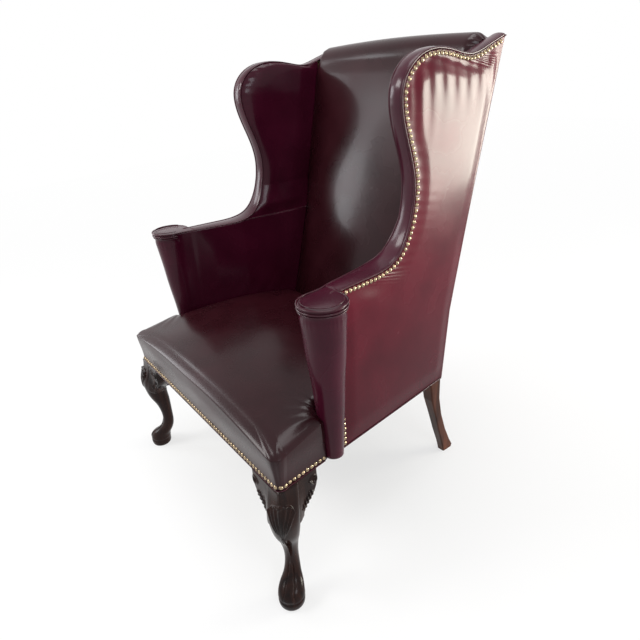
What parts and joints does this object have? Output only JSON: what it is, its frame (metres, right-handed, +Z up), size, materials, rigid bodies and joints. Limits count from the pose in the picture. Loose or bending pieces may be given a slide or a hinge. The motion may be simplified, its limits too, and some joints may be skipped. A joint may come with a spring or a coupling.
{
  "type": "wing armchair",
  "caption": "Leather wing armchair with a tight sprung seat, brass nail rows, carved cabriole front legs and swept back legs.",
  "frame": {"origin": "centre of the bounding box in plan, on the floor under the feet", "axes": "+Z up, the chair faces -Y, +X to the left of someone sitting in it"},
  "size_m": [0.8584, 0.8243, 1.1195],
  "materials": {
    "leather": "glossy",
    "mahogany": "glossy",
    "beech": "matte",
    "brass": "satin",
    "steel": "satin",
    "jute": "matte",
    "stuffing": "matte",
    "black_cloth": "matte"
  },
  "bodies": {
    "root": {"right_front_leg": "mahogany", "right_front_knee_bracket": "mahogany", "right_side_knee_bracket": "mahogany", "right_rear_leg": "mahogany", "right_side_seat_rail": "beech", "right_arm_post": "beech", "right_arm_rail": "beech", "right_arm_tack_rail": "beech", "right_wing_post": "beech", "right_wing_top_rail": "beech", "right_back_post": "beech", "right_outside_side_cover": "leather", "right_edge_band": "leather", "right_inside_wing_cover": "leather", "right_inside_arm_cover": "leather", "right_welts": "leather", "right_wing_padding": "stuffing", "right_arm_padding": "stuffing", "right_side_nails": "brass", "left_front_leg": "mahogany", "left_front_knee_bracket": "mahogany", "left_side_knee_bracket": "mahogany", "left_rear_leg": "mahogany", "left_side_seat_rail": "beech", "left_arm_post": "beech", "left_arm_rail": "beech", "left_arm_tack_rail": "beech", "left_wing_post": "beech", "left_wing_top_rail": "beech", "left_back_post": "beech", "left_outside_side_cover": "leather", "left_edge_band": "leather", "left_inside_wing_cover": "leather", "left_inside_arm_cover": "leather", "left_welts": "leather", "left_wing_padding": "stuffing", "left_arm_padding": "stuffing", "left_side_nails": "brass", "front_seat_rail": "beech", "rear_seat_rail": "beech", "crest_rail": "beech", "lower_back_rail": "beech", "corner_blocks": "beech", "frame_dowels": "beech", "corner_block_screws": "steel", "seat_springs": "steel", "seat_webbing": "jute", "back_webbing": "jute", "seat_hessian": "jute", "dust_cover": "black_cloth", "seat_padding": "stuffing", "back_padding": "stuffing", "seat_cover": "leather", "inside_back_cover": "leather", "outside_back_cover": "leather", "seat_nails": "brass", "back_nails": "brass"}
  },
  "joints": []
}
